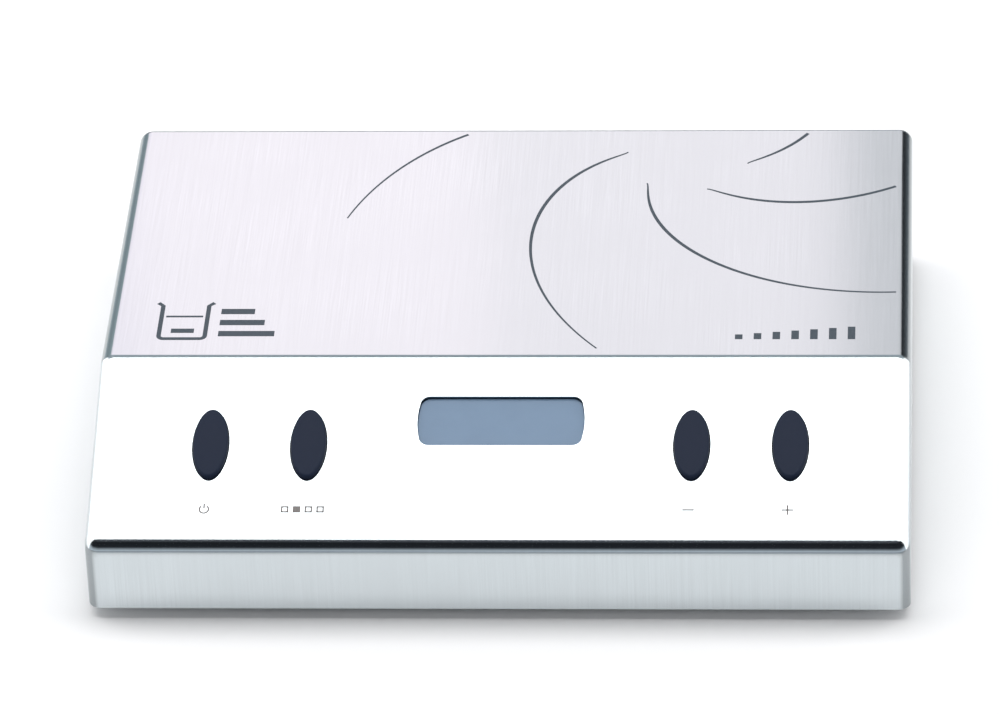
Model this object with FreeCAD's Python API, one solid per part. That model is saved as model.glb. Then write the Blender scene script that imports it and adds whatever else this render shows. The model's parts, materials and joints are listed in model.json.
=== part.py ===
"""Desk-top control unit of an inductive magnetic stirrer: a low wedge of folded stainless sheet.

Frame: millimetres, +X right, +Y to the rear, +Z up. The origin is on the table, under the centre of the
bounding box. Parts behind the sloping panel are drawn in the panel's own frame: x across, s up the slope
from the front edge, n along the outward normal, with n = 0 on the panel's outer face.
"""

import os
from math import cos, radians, sin, tan

import FreeCAD, Part

Vec = FreeCAD.Vector
X_AXIS = Vec(1, 0, 0)
Y_AXIS = Vec(0, 1, 0)
Z_AXIS = Vec(0, 0, 1)

# Housing
WIDTH = 160.0
DEPTH = 127.0
FRONT_HEIGHT = 14.7
PANEL_LENGTH = 45.55
PANEL_ANGLE = 19.64
SHEET = 1.0
LIFT = 2.5  # table to the lower edge of the shell
FRONT_BEND = 3.7
CREASE_BEND = 3.2
SIDE_BEND = 2.6
REAR_BEND = 2.2

# Rear sockets
SOCKET_PROUD = 8.0
SOCKET_X = 24.0
INLET_X = 48.0
REAR_CENTRE_Z = 18.0

FRONT_Y = -(DEPTH + SOCKET_PROUD) / 2
BACK_Y = FRONT_Y + DEPTH
SLOPE = radians(PANEL_ANGLE)
FRONT_TOP_Z = LIFT + FRONT_HEIGHT
TOP_Z = FRONT_TOP_Z + PANEL_LENGTH * sin(SLOPE)

# Base
BASE_THICK = 1.5
BASE_BOTTOM = 3.0
BASE_GAP = 0.3
BASE_TOP = BASE_BOTTOM + BASE_THICK
BLOCK = 10.0
BLOCK_HEIGHT = 6.0
BLOCK_FROM_END = 11.0
FOOT_RADIUS = 6.0
FOOT_TAPER = 0.6
FOOT_EDGE = 0.5
FOOT_X = 60.0
FOOT_FROM_END = 15.0
RATING_PLATE = (52.0, 24.0, 0.2)

# Keys
KEYS = {"power": -56.6, "mode": -37.4, "minus": 37.4, "plus": 56.6}
KEY_S = 24.1
KEY_HALF_WIDTH = 3.5
KEY_HALF_LENGTH = 8.1
KEY_PROUD = 1.2
KEY_GAP = 0.2
KEY_EDGE = 0.6
KEY_BOSS = 2.0
FLANGE_GROW = 1.1
FLANGE_TOP = -SHEET - 0.1
FLANGE_BOTTOM = -SHEET - 1.4
GUIDE_GAP = 0.3

# Display window
WINDOW_S = 30.0
WINDOW_HALF_WIDTH = 16.4
WINDOW_HALF_HEIGHT = 5.85
WINDOW_CORNER_X = 15.5
WINDOW_CORNER_RADIUS = 2.0
WINDOW_RECESS = 0.7
WINDOW_GAP = 0.15
GASKET = 0.3
LENS_SIZE = (37.0, 16.0)
LENS_THICK = 1.0

# Key carrier and key board, as heights along n
GUIDE_BOTTOM = -3.9
BOARD_TOP = -9.6
BOARD_THICK = 1.6
BOARD_BOTTOM = BOARD_TOP - BOARD_THICK
GUIDE_HALF_WIDTH = 72.0
GUIDE_S = (13.0, 42.0)
KEY_BOARD_HALF_WIDTH = 70.0
KEY_BOARD_S = (12.0, 42.0)
STUDS = [(-67, 27), (-27, 18), (-27, 37), (27, 18), (27, 37), (67, 27)]
STUD_RADIUS = 1.25
STUD_END = -14.0
STUD_NUT_FLATS = 5.0
STUD_NUT_HEIGHT = 2.0
SPACER_RADIUS = 2.5

# Key switch, as heights above the key board
SWITCH_SIDE = 6.2
SWITCH_HEIGHT = 5.0
SWITCH_FLOOR = 0.6
SWITCH_LID = 0.3
SWITCH_BORE = 2.25
PLUNGER_RADIUS = 1.65
PLUNGER_FOOT = 2.1
PLUNGER_FOOT_TOP = 4.65
PLUNGER_FOOT_THICK = 0.65
PLUNGER_TOP = 6.6
SPRING_WIRE = 0.25
SPRING_TURNS = 4

# Display module
LCD_S = WINDOW_S
LCD_FRAME = (42.0, 20.0)
LCD_VIEW = (36.4, 15.6)
LCD_CELL = (40.4, 18.4)
LCD_BOARD = (46.0, 23.0)
LCD_FRAME_TOP = -2.5
LCD_BEZEL = 0.5
LCD_PIN = 0.32
LCD_PINS = 14
LCD_PIN_FROM_EDGE = 0.9
PIN_PITCH = 2.54
LCD_GLASS = 1.8
LCD_BOARD_TOP = -7.0

# Main board
MAIN_BOARD = (124.0, 58.0)
MAIN_FRONT_Y = FRONT_Y + 52.0
MAIN_Z = 10.0
MAIN_TOP = MAIN_Z + BOARD_THICK
STANDOFF_INSET = 5.0
SPIGOT_RADIUS = 2.1

# Round drive socket
SOCKET_RADIUS = 8.0
SOCKET_BORE = 7.0
SOCKET_FLANGE = 9.6
SOCKET_FLANGE_THICK = 1.6
SOCKET_INSIDE = 9.0
INSERT_RADIUS = 5.6
CONTACTS = 5
CONTACT_CIRCLE = 3.2
CONTACT_OUTER = 0.9
CONTACT_BORE = 0.5

# Power inlet
INLET_RADIUS = 4.0
INLET_BORE = 2.85
INLET_FLANGE = 6.0
INLET_PROUD = 2.0
INLET_INSIDE = 11.0
INLET_DEPTH = 9.5
INLET_PIN = 1.05

TO_PANEL = FreeCAD.Placement(
    Vec(0, FRONT_Y, FRONT_TOP_Z), FreeCAD.Rotation(X_AXIS, PANEL_ANGLE)
)


# Basic solids -------------------------------------------------------------------------------------------


def block(x, y, z, centre_x=0.0, centre_y=0.0, low_z=0.0):
    """A box centred on x and y, standing on low_z."""
    return Part.makeBox(x, y, z, Vec(centre_x - x / 2, centre_y - y / 2, low_z))


def rod(radius, low, high, x=0.0, y=0.0):
    """A cylinder along Z."""
    return Part.makeCylinder(radius, high - low, Vec(x, y, low), Z_AXIS)


def rod_y(radius, low, high, x, z):
    """A cylinder along Y."""
    return Part.makeCylinder(radius, high - low, Vec(x, low, z), Y_AXIS)


def union(shapes):
    """One shape from several that touch or overlap."""
    shapes = list(shapes)
    return shapes[0].fuse(shapes[1:]).removeSplitter() if len(shapes) > 1 else shapes[0]


def group(shapes):
    """Several separate solids in one shape."""
    return Part.makeCompound(list(shapes))


def hexagon(across_flats, low, high, x=0.0, y=0.0):
    """A hexagonal prism along Z."""
    corner = across_flats / 2 / cos(radians(30))
    turns = [radians(60 * i + 30) for i in range(7)]
    points = [Vec(x + corner * cos(t), y + corner * sin(t), low) for t in turns]
    return Part.Face(Part.makePolygon(points)).extrude(Vec(0, 0, high - low))


def rounded_plate(width, depth, thick, radius, centre_y, low_z):
    """A flat plate with rounded corners."""
    plate = block(width, depth, thick, 0, centre_y, low_z)
    uprights = [e for e in plate.Edges if abs(e.BoundBox.ZLength - thick) < 1e-6]
    return plate.makeFillet(radius, uprights)


def oval(half_width, half_length, low, high, x=0.0, y=0.0):
    """An elliptical prism along Z, with its long axis along Y."""
    ellipse = Part.Ellipse(
        Vec(x, y + half_length, low), Vec(x + half_width, y, low), Vec(x, y, low)
    )
    return Part.Face(Part.Wire(ellipse.toShape())).extrude(Vec(0, 0, high - low))


def bent_edges(points, bends):
    """Straight runs through the points, joined by tangent arcs of the given radii."""
    edges = []
    start = points[0]
    for before, corner, after, bend in zip(points, points[1:], points[2:], bends):
        a = (before - corner).normalize()
        b = (after - corner).normalize()
        half = a.getAngle(b) / 2
        back = bend / tan(half)
        middle = (a + b).normalize() * (bend / sin(half) - bend)
        edges.append(Part.LineSegment(start, corner + a * back).toShape())
        arc = Part.Arc(corner + a * back, corner + middle, corner + b * back)
        edges.append(arc.toShape())
        start = corner + b * back
    edges.append(Part.LineSegment(start, points[-1]).toShape())
    return edges


def bent_path(points, bend):
    return Part.Wire(bent_edges(points, [bend] * len(points)))


def tube(points, radius, bend):
    """A round wire swept along straight runs and arcs."""
    path = bent_path(points, bend)
    heading = (points[1] - points[0]).normalize()
    section = Part.Wire(Part.makeCircle(radius, points[0], heading))
    return path.makePipeShell([section], True, False)


def on_panel(shape):
    """Moves a shape from the panel's frame to the object's."""
    moved = shape.copy()
    moved.transformShape(TO_PANEL.toMatrix())
    return moved


def at_rear(shape, x):
    """Turns a shape drawn along Z, with z = 0 on the rear wall's outer face, to stand on that wall at x."""
    moved = shape.copy()
    place = FreeCAD.Placement(Vec(x, BACK_Y, REAR_CENTRE_Z), FreeCAD.Rotation(X_AXIS, -90))
    moved.transformShape(place.toMatrix())
    return moved


# Housing ------------------------------------------------------------------------------------------------


def side_profile(inset, bottom):
    """The wedge seen from the side, moved inwards by inset."""
    front = FRONT_Y + inset
    back = BACK_Y - inset
    top = TOP_Z - inset
    drop = inset / cos(SLOPE)
    front_top = FRONT_TOP_Z + inset * tan(SLOPE) - drop
    crease = FRONT_Y + (top - FRONT_TOP_Z + drop) / tan(SLOPE)
    return [(front, bottom), (front, front_top), (crease, top), (back, top), (back, bottom)]


def wedge(inset, bottom):
    """The housing's solid wedge with its bends, inset from the outer faces."""
    half = WIDTH / 2 - inset
    points = [Vec(-half, y, z) for y, z in side_profile(inset, bottom)]
    bends = [FRONT_BEND - inset, CREASE_BEND - inset, REAR_BEND - inset]
    outline = Part.Wire(bent_edges(points, bends) + [Part.LineSegment(points[-1], points[0]).toShape()])
    body = Part.Face(outline).extrude(Vec(2 * half, 0, 0))
    side_edges = [
        e for e in body.Edges if e.BoundBox.XLength < 1e-6 and e.BoundBox.ZMax > bottom + 1e-6
    ]
    return body.makeFillet(SIDE_BEND - inset, side_edges)


def window_prism(grow, low, high):
    """The display opening: straight long sides and shallow arcs at the ends."""
    half_height = WINDOW_HALF_HEIGHT + grow
    corner = WINDOW_CORNER_X + grow
    end = WINDOW_HALF_WIDTH + grow
    y0 = WINDOW_S - half_height
    y1 = WINDOW_S + half_height
    edges = [
        Part.LineSegment(Vec(-corner, y0, low), Vec(corner, y0, low)),
        Part.Arc(Vec(corner, y0, low), Vec(end, WINDOW_S, low), Vec(corner, y1, low)),
        Part.LineSegment(Vec(corner, y1, low), Vec(-corner, y1, low)),
        Part.Arc(Vec(-corner, y1, low), Vec(-end, WINDOW_S, low), Vec(-corner, y0, low)),
    ]
    face = Part.Face(Part.Wire([e.toShape() for e in edges]))
    prism = face.extrude(Vec(0, 0, high - low))
    uprights = [e for e in prism.Edges if abs(e.BoundBox.ZLength - (high - low)) < 1e-6]
    return prism.makeFillet(WINDOW_CORNER_RADIUS, uprights)


def housing_shell():
    shell = wedge(0, LIFT).cut(wedge(SHEET, LIFT - 2 * SHEET))
    for x in KEYS.values():
        hole = oval(KEY_HALF_WIDTH + KEY_GAP, KEY_HALF_LENGTH + KEY_GAP, -2 * SHEET, SHEET, x, KEY_S)
        shell = shell.cut(on_panel(hole))
    shell = shell.cut(on_panel(window_prism(0, -2 * SHEET, SHEET)))
    shell = shell.cut(at_rear(rod(SOCKET_RADIUS + 0.2, -2 * SHEET, SHEET), SOCKET_X))
    return shell.cut(at_rear(rod(INLET_RADIUS + 0.2, -2 * SHEET, SHEET), INLET_X))


def corner_places():
    """Where the base is screwed to the shell."""
    x = WIDTH / 2 - SHEET - BLOCK / 2
    ends = (FRONT_Y + BLOCK_FROM_END, BACK_Y - BLOCK_FROM_END)
    return [(side * x, y) for y in ends for side in (-1, 1)]


SCREW_RADIUS = 1.5
SCREW_HEAD = 2.8
SCREW_LENGTH = 7.0
SCREW_CLEARANCE = 0.15
THREAD_CLEARANCE = 0.02
PAN_HEAD = 2.7
PAN_HEIGHT = 1.6
DRIVE_FLATS = 2.0
DRIVE_DEPTH = 1.0


def base_plate():
    inner_gap = 2 * (SHEET + BASE_GAP)
    centre_y = (FRONT_Y + BACK_Y) / 2
    plate = rounded_plate(
        WIDTH - inner_gap, DEPTH - inner_gap, BASE_THICK, SIDE_BEND - SHEET, centre_y, BASE_BOTTOM
    )
    for x, y in corner_places():
        sink = Part.makeCone(
            SCREW_HEAD + SCREW_CLEARANCE,
            SCREW_RADIUS + SCREW_CLEARANCE,
            SCREW_HEAD - SCREW_RADIUS,
            Vec(x, y, BASE_BOTTOM),
        )
        plate = plate.cut([rod(SCREW_RADIUS + SCREW_CLEARANCE, BASE_BOTTOM, BASE_TOP, x, y), sink])
    for x, y in standoff_places():
        plate = plate.cut(rod(SPIGOT_RADIUS, BASE_BOTTOM, BASE_TOP, x, y))
    return plate


def corner_blocks():
    return group(
        block(BLOCK, BLOCK, BLOCK_HEIGHT, x, y, BASE_TOP).cut(
            rod(SCREW_RADIUS + THREAD_CLEARANCE, BASE_TOP, BASE_TOP + BLOCK_HEIGHT, x, y)
        )
        for x, y in corner_places()
    )


def countersunk_screw(x, y, low):
    """A countersunk screw that points up, with its flat head face at low."""
    cone = Part.makeCone(SCREW_HEAD, SCREW_RADIUS, SCREW_HEAD - SCREW_RADIUS, Vec(x, y, low))
    shank = rod(SCREW_RADIUS, low + DRIVE_DEPTH, low + SCREW_LENGTH, x, y)
    return union([cone, shank]).cut(hexagon(DRIVE_FLATS, low, low + DRIVE_DEPTH, x, y))


def base_screws():
    return group(countersunk_screw(x, y, BASE_BOTTOM) for x, y in corner_places())


def foot(side, end):
    """A moulded rubber foot with a softened lower edge."""
    y = FRONT_Y + FOOT_FROM_END if end < 0 else BACK_Y - FOOT_FROM_END
    pad = Part.makeCone(FOOT_RADIUS - FOOT_TAPER, FOOT_RADIUS, BASE_BOTTOM, Vec(side * FOOT_X, y, 0))
    lower = [e for e in pad.Edges if e.CenterOfMass.z < 1e-6]
    return pad.makeFillet(FOOT_EDGE, lower)


def rating_plate():
    return block(*RATING_PLATE, 0, (FRONT_Y + BACK_Y) / 2, BASE_BOTTOM - RATING_PLATE[2])


# Keys and switches --------------------------------------------------------------------------------------


def key_cap(x):
    """An oval push key: rounded top, retaining flange under the sheet, boss on the switch."""
    top = oval(KEY_HALF_WIDTH, KEY_HALF_LENGTH, FLANGE_TOP, KEY_PROUD, x, KEY_S)
    rim = [e for e in top.Edges if abs(e.CenterOfMass.z - KEY_PROUD) < 1e-6]
    top = top.makeFillet(KEY_EDGE, rim)
    flange = oval(
        KEY_HALF_WIDTH + FLANGE_GROW, KEY_HALF_LENGTH + FLANGE_GROW, FLANGE_BOTTOM, FLANGE_TOP, x, KEY_S
    )
    boss = rod(KEY_BOSS, BOARD_TOP + PLUNGER_TOP, FLANGE_BOTTOM, x, KEY_S)
    return on_panel(union([top, flange, boss]))


def switch_plunger(x):
    foot_low = BOARD_TOP + PLUNGER_FOOT_TOP - PLUNGER_FOOT_THICK
    foot_high = BOARD_TOP + PLUNGER_FOOT_TOP
    stem = rod(PLUNGER_RADIUS, foot_high, BOARD_TOP + PLUNGER_TOP, x, KEY_S)
    return on_panel(union([rod(PLUNGER_FOOT, foot_low, foot_high, x, KEY_S), stem]))


def switch_body(x):
    case = block(SWITCH_SIDE, SWITCH_SIDE, SWITCH_HEIGHT, x, KEY_S, BOARD_TOP)
    well = rod(SWITCH_BORE, BOARD_TOP + SWITCH_FLOOR, BOARD_TOP + SWITCH_HEIGHT - SWITCH_LID, x, KEY_S)
    mouth = rod(PLUNGER_RADIUS + 0.1, BOARD_TOP + SWITCH_FLOOR, BOARD_TOP + SWITCH_HEIGHT, x, KEY_S)
    return on_panel(case.cut([well, mouth]))


def switch_spring(x):
    """The coil that lifts the plunger again."""
    low = BOARD_TOP + SWITCH_FLOOR + SPRING_WIRE / 2 + 0.02
    high = BOARD_TOP + PLUNGER_FOOT_TOP - PLUNGER_FOOT_THICK - SPRING_WIRE / 2 - 0.02
    radius = PLUNGER_FOOT - 0.3
    pitch = (high - low) / SPRING_TURNS
    helix = Part.makeLongHelix(pitch, high - low, radius)
    start = Vec(radius, 0, 0)
    section = Part.Wire(Part.makeCircle(SPRING_WIRE / 2, start, Y_AXIS))
    coil = Part.Wire(helix.Edges).makePipeShell([section], True, True)
    coil.translate(Vec(x, KEY_S, low))
    return on_panel(coil)


def stud_rods(radius, low, high):
    return [rod(radius, low, high, x, s) for x, s in STUDS]


def key_guide_frame():
    """The moulded frame that guides the keys and spaces the key board from the sheet."""
    width = 2 * GUIDE_HALF_WIDTH
    length = GUIDE_S[1] - GUIDE_S[0]
    plate = block(width, length, -SHEET - GUIDE_BOTTOM, 0, sum(GUIDE_S) / 2, GUIDE_BOTTOM)
    opening = block(LCD_FRAME[0] + 1.0, LCD_FRAME[1] + 1.0, 10, 0, LCD_S, GUIDE_BOTTOM - 5)
    grow = FLANGE_GROW + GUIDE_GAP
    wells = [
        oval(KEY_HALF_WIDTH + grow, KEY_HALF_LENGTH + grow, GUIDE_BOTTOM - 1, 0, x, KEY_S)
        for x in KEYS.values()
    ]
    frame = union([plate.cut([opening, *wells]), *stud_rods(SPACER_RADIUS, BOARD_TOP, GUIDE_BOTTOM + 0.5)])
    return on_panel(frame.cut(stud_rods(STUD_RADIUS + 0.1, BOARD_TOP - 1, 0)))


def panel_studs():
    return group(on_panel(s) for s in stud_rods(STUD_RADIUS, STUD_END, -SHEET))


def stud_nuts():
    low = BOARD_BOTTOM - STUD_NUT_HEIGHT
    bores = stud_rods(STUD_RADIUS + THREAD_CLEARANCE, low, BOARD_BOTTOM)
    return group(
        on_panel(hexagon(STUD_NUT_FLATS, low, BOARD_BOTTOM, x, s).cut(bore))
        for (x, s), bore in zip(STUDS, bores)
    )


def lcd_pin_places():
    row = LCD_S + LCD_BOARD[1] / 2 - LCD_PIN_FROM_EDGE
    return [(PIN_PITCH * (i - (LCD_PINS - 1) / 2), row) for i in range(LCD_PINS)]


def key_board():
    length = KEY_BOARD_S[1] - KEY_BOARD_S[0]
    board = block(2 * KEY_BOARD_HALF_WIDTH, length, BOARD_THICK, 0, sum(KEY_BOARD_S) / 2, BOARD_BOTTOM)
    holes = stud_rods(STUD_RADIUS + 0.15, BOARD_BOTTOM - 1, BOARD_TOP + 1)
    holes += [rod(LCD_PIN + 0.02, BOARD_BOTTOM - 1, BOARD_TOP + 1, x, s) for x, s in lcd_pin_places()]
    return on_panel(board.cut(holes))


# Display ------------------------------------------------------------------------------------------------


def display_window():
    """The clear lens: a flange behind the sheet and a raised field in the opening."""
    high = -SHEET - GASKET
    flange = block(*LENS_SIZE, LENS_THICK, 0, WINDOW_S, high - LENS_THICK)
    return on_panel(union([flange, window_prism(-WINDOW_GAP, high, -WINDOW_RECESS)]))


def window_gasket():
    ring = block(*LENS_SIZE, GASKET, 0, WINDOW_S, -SHEET - GASKET)
    return on_panel(ring.cut(window_prism(0.2, -2 * SHEET, 0)))


def lcd_frame():
    """The sheet-metal bezel round the display cell."""
    low = LCD_BOARD_TOP
    case = block(*LCD_FRAME, LCD_FRAME_TOP - low, 0, LCD_S, low)
    inside = LCD_FRAME_TOP - low - LCD_BEZEL
    hollow = block(LCD_CELL[0] + 0.4, LCD_CELL[1] + 0.4, inside, 0, LCD_S, low)
    view = block(*LCD_VIEW, 5, 0, LCD_S, LCD_FRAME_TOP - 2)
    return on_panel(case.cut([hollow, view]))


def lcd_glass():
    high = LCD_FRAME_TOP - LCD_BEZEL
    return on_panel(block(*LCD_CELL, LCD_GLASS, 0, LCD_S, high - LCD_GLASS))


def lcd_backlight():
    high = LCD_FRAME_TOP - LCD_BEZEL - LCD_GLASS
    return on_panel(block(*LCD_CELL, high - LCD_BOARD_TOP, 0, LCD_S, LCD_BOARD_TOP))


def lcd_board():
    low = LCD_BOARD_TOP - BOARD_THICK
    board = block(*LCD_BOARD, BOARD_THICK, 0, LCD_S, low)
    return on_panel(board.cut([rod(LCD_PIN + 0.02, low - 1, low + 3, x, s) for x, s in lcd_pin_places()]))


def lcd_header_pins():
    low = BOARD_BOTTOM - 1.2
    return group(on_panel(rod(LCD_PIN, low, LCD_BOARD_TOP + 0.8, x, s)) for x, s in lcd_pin_places())


# Main board ---------------------------------------------------------------------------------------------

MAIN_CENTRE_Y = MAIN_FRONT_Y + MAIN_BOARD[1] / 2
MAIN_BACK_Y = MAIN_FRONT_Y + MAIN_BOARD[1]
RIBBON_X = 0.0
RIBBON_S = 33.0
RIBBON_WIDTH = 12.7
RIBBON_THICK = 0.9
HEADER = (17.0, 6.0, 5.0)
BOARD_SCREW_GRIP = 2.6
CONTROLLER = (12.0, 12.0, 1.5)
CONTROLLER_X = 22.0
CONTROLLER_Y = MAIN_CENTRE_Y - 6.0
DRIVER = (8.0, 9.0, 1.8)
DRIVER_XS = [-45.0 + 12.0 * i for i in range(4)]
DRIVER_Y = MAIN_CENTRE_Y - 4.0
SINK_BAR = (48.0, 16.0, 2.0)
SINK_FINS = 6
FIN_THICK = 1.0
FIN_HEIGHT = 7.5
CAPACITOR_RADIUS = 5.0
CAPACITOR_HEIGHT = 13.0
CAPACITOR_XS = (8.0, -5.0)
CAPACITOR_Y = MAIN_BACK_Y - 9.0
CHOKE_X = 44.0
CHOKE_Y = MAIN_CENTRE_Y - 2.0
CHOKE_RADIUS = 6.5
CHOKE_HEIGHT = 8.0
CHOKE_RIM = 1.5
CHOKE_WAIST = 4.5
WINDING_RADIUS = 6.1

# x, y from the board's middle, width, depth and height of each part
SMALL_PARTS = {
    "regulator": (22.0, 18.0, 6.0, 5.0, 1.6),
    "line driver": (33.0, 18.0, 5.0, 4.0, 1.6),
    "quartz": (8.0, -6.0, 11.0, 4.6, 3.4),
    "first resistor": (34.0, -22.0, 6.5, 3.2, 1.2),
    "second resistor": (46.0, -22.0, 6.5, 3.2, 1.2),
    "memory": (-56.0, 4.0, 5.0, 6.0, 2.2),
}


def standoff_places():
    x = MAIN_BOARD[0] / 2 - STANDOFF_INSET
    ends = (MAIN_FRONT_Y + STANDOFF_INSET, MAIN_BACK_Y - STANDOFF_INSET)
    return [(side * x, y) for y in ends for side in (-1, 1)]


def main_board():
    board = block(*MAIN_BOARD, BOARD_THICK, 0, MAIN_CENTRE_Y, MAIN_Z)
    return board.cut([rod(1.6, MAIN_Z - 1, MAIN_TOP + 1, x, y) for x, y in standoff_places()])


def board_standoffs():
    """Hexagonal spacers with a spigot clinched into the base plate."""
    return group(
        union([hexagon(5.5, BASE_TOP, MAIN_Z, x, y), rod(SPIGOT_RADIUS, BASE_BOTTOM, BASE_TOP, x, y)]).cut(
            rod(SCREW_RADIUS + THREAD_CLEARANCE, BASE_TOP, MAIN_Z + 1, x, y)
        )
        for x, y in standoff_places()
    )


def pan_screw(x, y, seat, tip):
    """A pan-head screw that points down: its head's underside is on seat."""
    head_top = seat + PAN_HEIGHT
    screw = union([rod(PAN_HEAD, seat, head_top, x, y), rod(SCREW_RADIUS, tip, seat, x, y)])
    return screw.cut(hexagon(DRIVE_FLATS, head_top - DRIVE_DEPTH, head_top, x, y))


def board_screws():
    return group(pan_screw(x, y, MAIN_TOP, MAIN_Z - BOARD_SCREW_GRIP) for x, y in standoff_places())


def microcontroller():
    return block(*CONTROLLER, CONTROLLER_X, CONTROLLER_Y, MAIN_TOP)


def driver_transistors():
    return group(block(*DRIVER, x, DRIVER_Y, MAIN_TOP) for x in DRIVER_XS)


def driver_heat_sink():
    """A finned bar that lies on the four driver packages."""
    centre_x = sum(DRIVER_XS) / len(DRIVER_XS)
    length, width, thick = SINK_BAR
    low = MAIN_TOP + DRIVER[2]
    bar = block(length, width, thick, centre_x, DRIVER_Y, low)
    pitch = (width - FIN_THICK) / (SINK_FINS - 1)
    first = DRIVER_Y - pitch * (SINK_FINS - 1) / 2
    fins = [
        block(length, FIN_THICK, thick + FIN_HEIGHT - FIN_THICK, centre_x, first + pitch * i, low)
        for i in range(SINK_FINS)
    ]
    return union([bar, *fins])


def smoothing_capacitors():
    return group(
        rod(CAPACITOR_RADIUS, MAIN_TOP, MAIN_TOP + CAPACITOR_HEIGHT, x, CAPACITOR_Y) for x in CAPACITOR_XS
    )


def choke_ring(outer):
    """A ring round the waist of the choke's bobbin, between its two rims."""
    low = MAIN_TOP + CHOKE_RIM
    high = MAIN_TOP + CHOKE_HEIGHT - CHOKE_RIM
    return rod(outer, low, high, CHOKE_X, CHOKE_Y).cut(rod(CHOKE_WAIST, low, high, CHOKE_X, CHOKE_Y))


def power_choke():
    core = rod(CHOKE_RADIUS, MAIN_TOP, MAIN_TOP + CHOKE_HEIGHT, CHOKE_X, CHOKE_Y)
    return core.cut(choke_ring(CHOKE_RADIUS + 1))


def choke_winding():
    return choke_ring(WINDING_RADIUS)


def board_small_parts():
    """Regulator, line driver, memory, quartz and two power resistors."""
    return group(
        block(width, depth, height, x, MAIN_CENTRE_Y + y, MAIN_TOP)
        for x, y, width, depth, height in SMALL_PARTS.values()
    )


def ribbon_headers():
    """One pin header on each board, where the ribbon cable plugs in."""
    main = block(*HEADER, RIBBON_X, MAIN_FRONT_Y + 5.0, MAIN_TOP)
    key = block(HEADER[0], HEADER[1], HEADER[2] - 1.0, RIBBON_X, RIBBON_S, BOARD_BOTTOM - HEADER[2] + 1.0)
    return group([main, on_panel(key)])


def ribbon_cable():
    """The flat cable, drawn as its side view and extruded to its width."""
    start = TO_PANEL.multVec(Vec(0, RIBBON_S, BOARD_BOTTOM - HEADER[2] + 1.0))
    leave = TO_PANEL.multVec(Vec(0, RIBBON_S, BOARD_BOTTOM - HEADER[2] - 2.5))
    end = Vec(0, MAIN_FRONT_Y + 5.0, MAIN_TOP + HEADER[2])
    rise = Vec(0, end.y, end.z + 5.0)
    middle = Vec(0, (leave.y + rise.y) / 2 - 2.0, leave.z)
    path = bent_path([start, leave, middle, rise, end], 1.6)
    half = Vec(RIBBON_WIDTH / 2, 0, 0)
    across = TO_PANEL.Rotation.multVec(Y_AXIS) * (RIBBON_THICK / 2)
    corners = [start - half - across, start + half - across, start + half + across, start - half + across]
    section = Part.makePolygon(corners + corners[:1])
    return path.makePipeShell([section], True, False)


# Rear sockets -------------------------------------------------------------------------------------------


def drive_socket_shell():
    """The threaded metal barrel of the round socket, with its outer flange."""
    barrel = rod(SOCKET_RADIUS, -SOCKET_INSIDE, SOCKET_PROUD)
    flange = rod(SOCKET_FLANGE, 0.6, SOCKET_FLANGE_THICK + 0.6)
    rim = [e for e in flange.Edges if e.CenterOfMass.z > 1 and len(e.Vertexes) == 1]
    flange = flange.makeFillet(0.3, [e for e in rim if e.BoundBox.ZLength < 1e-6])
    seat = rod(SOCKET_RADIUS, 0.0, 0.7)
    return at_rear(union([barrel, flange, seat]).cut(rod(SOCKET_BORE, -SOCKET_INSIDE, SOCKET_PROUD)), SOCKET_X)


def contact_places():
    turns = [radians(90 + 45 + 67.5 * i) for i in range(CONTACTS)]
    return [(CONTACT_CIRCLE * cos(t), CONTACT_CIRCLE * sin(t)) for t in turns]


def drive_socket_insert():
    """The insulator that carries the contacts, with its key rib."""
    core = rod(INSERT_RADIUS, 1.0 - SOCKET_INSIDE, SOCKET_PROUD - 1.0)
    disc = rod(SOCKET_BORE, 1.0 - SOCKET_INSIDE, -1.0)
    key = block(1.6, SOCKET_BORE - INSERT_RADIUS + 0.6, 5.0, 0, -INSERT_RADIUS - 0.2, -2.0)
    insert = union([core, disc, key])
    holes = [rod(CONTACT_OUTER, -20, 20, x, y) for x, y in contact_places()]
    return at_rear(insert.cut(holes).common(rod(SOCKET_BORE, -20, 20)), SOCKET_X)


def drive_socket_contacts():
    def contact(x, y):
        sleeve = rod(CONTACT_OUTER, -SOCKET_INSIDE - 2.5, SOCKET_PROUD - 1.3, x, y)
        return sleeve.cut(rod(CONTACT_BORE, 0.0, SOCKET_PROUD, x, y))

    return group(at_rear(contact(x, y), SOCKET_X) for x, y in contact_places())


def drive_socket_nut():
    nut = hexagon(20.0, -SHEET - 3.0, -SHEET)
    return at_rear(nut.cut(rod(SOCKET_RADIUS + 0.02, -10, 1)), SOCKET_X)


def drive_socket_seal():
    ring = rod(SOCKET_FLANGE - 0.5, 0.0, 0.6)
    return at_rear(ring.cut(rod(SOCKET_RADIUS + 0.05, -1, 2)), SOCKET_X)


def power_inlet_body():
    """The round low-voltage inlet: a flange outside and a moulded body inside."""
    barrel = rod(INLET_RADIUS, -INLET_INSIDE, INLET_PROUD)
    flange = rod(INLET_FLANGE, 0.0, INLET_PROUD)
    rim = [e for e in flange.Edges if abs(e.CenterOfMass.z - INLET_PROUD) < 1e-6]
    body = union([barrel, flange.makeFillet(0.4, rim)])
    bore = rod(INLET_BORE, INLET_PROUD - INLET_DEPTH, INLET_PROUD)
    return at_rear(body.cut([bore, rod(INLET_PIN, -INLET_INSIDE, 0)]), INLET_X)


def power_inlet_contacts():
    """The centre pin, and the outer contact's tag behind the body."""
    pin = rod(INLET_PIN, -INLET_INSIDE - 2.0, INLET_PROUD - 0.8)
    tag = block(1.6, 0.6, 3.0, 0, -INLET_BORE, -INLET_INSIDE - 3.0)
    return group([at_rear(pin, INLET_X), at_rear(tag, INLET_X)])


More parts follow.
